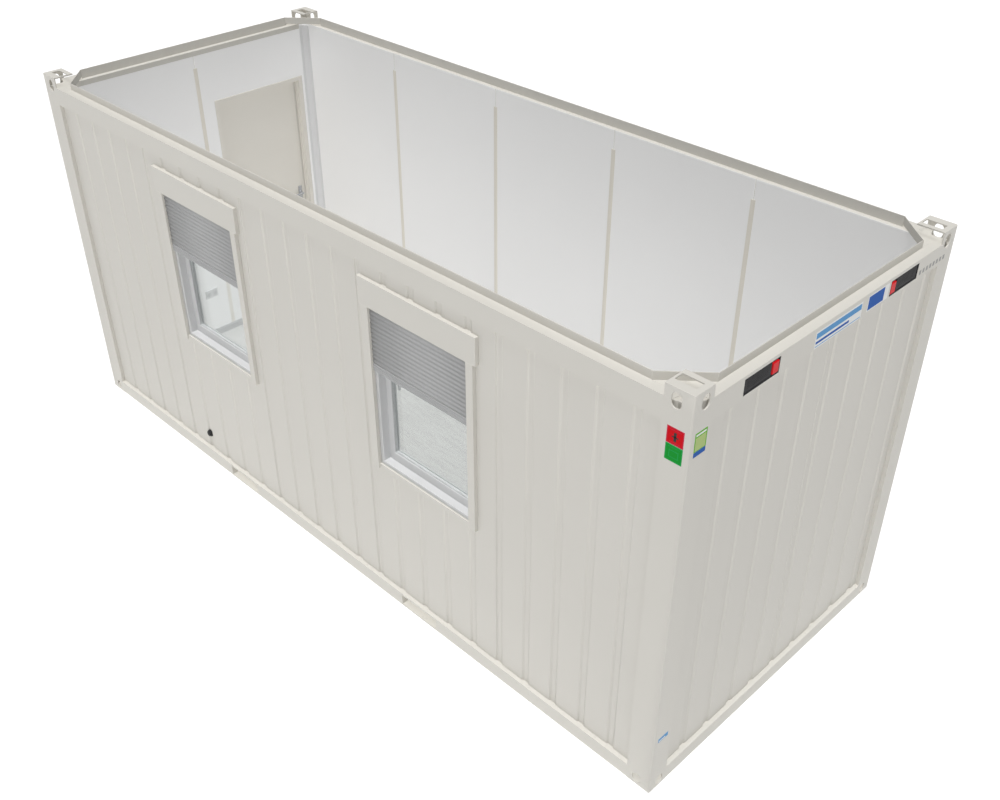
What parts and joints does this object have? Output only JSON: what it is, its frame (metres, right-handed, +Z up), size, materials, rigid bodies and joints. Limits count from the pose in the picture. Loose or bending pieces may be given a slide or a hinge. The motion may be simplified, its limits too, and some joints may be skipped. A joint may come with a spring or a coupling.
{
  "type": "portable site cabin",
  "caption": "Portable steel-framed site cabin with grooved panel walls, windows with roller shutters, an end door, corner fittings, forklift pockets and an open top.",
  "frame": {"origin": "middle of the footprint on the ground", "axes": "+X the plain end, -X the end with the door, -Y the long side with the windows, +Z up"},
  "size_m": [6.055, 2.435, 2.8],
  "materials": {
    "frame_paint": "satin cream-white paint",
    "panel_paint": "satin cream-white coil coating",
    "underside_steel": "galvanised steel",
    "floor_vinyl": "pale streaked vinyl",
    "white_pvc": "smooth white plastic",
    "window_glass": "clear, faint green tint",
    "shutter_paint": "satin cream-white paint",
    "shutter_slats": "light grey slats",
    "door_paint": "satin cream-white paint",
    "handle_metal": "brushed"
  },
  "bodies": {
    "cabin": {"base_rail_front": "frame_paint", "base_rail_back": "frame_paint", "base_rail_left": "frame_paint", "base_rail_right": "frame_paint", "floor_pan_left": "underside_steel", "floor_pan_middle": "underside_steel", "floor_pan_right": "underside_steel", "fork_sleeve_left": "underside_steel", "fork_sleeve_right": "underside_steel", "floor_board": "floor_vinyl", "corner_post_front_left": "frame_paint", "corner_post_front_right": "frame_paint", "corner_post_back_left": "frame_paint", "corner_post_back_right": "frame_paint", "roof_rail_front": "frame_paint", "roof_rail_back": "frame_paint", "roof_rail_left": "frame_paint", "roof_rail_right": "frame_paint", "roof_corner_front_left": "frame_paint", "roof_corner_front_right": "frame_paint", "roof_corner_back_left": "frame_paint", "roof_corner_back_right": "frame_paint", "front_panel_1": "panel_paint", "front_panel_2": "panel_paint", "front_panel_3": "panel_paint", "front_panel_4": "panel_paint", "front_panel_5": "panel_paint", "back_panel_1": "panel_paint", "back_panel_2": "panel_paint", "back_panel_3": "panel_paint", "back_panel_4": "panel_paint", "back_panel_5": "panel_paint", "right_panel_1": "panel_paint", "right_panel_2": "panel_paint", "left_panel_1": "panel_paint", "left_panel_2": "panel_paint", "window_frame_left": "white_pvc", "window_glass_left": "window_glass", "shutter_box_left": "shutter_paint", "shutter_curtain_left": "shutter_slats", "window_frame_right": "white_pvc", "window_glass_right": "window_glass", "shutter_box_right": "shutter_paint", "shutter_curtain_right": "shutter_slats", "door_frame": "door_paint"},
    "door": {"door_leaf": "door_paint", "door_handle": "handle_metal"}
  },
  "joints": [
    {"name": "door_hinge", "type": "hinge", "parent": "cabin", "child": "door", "pos_m": [-3.0195, 0.15, 1.2], "axis": [0, 0, 1], "range_deg": [0, 110]}
  ]
}
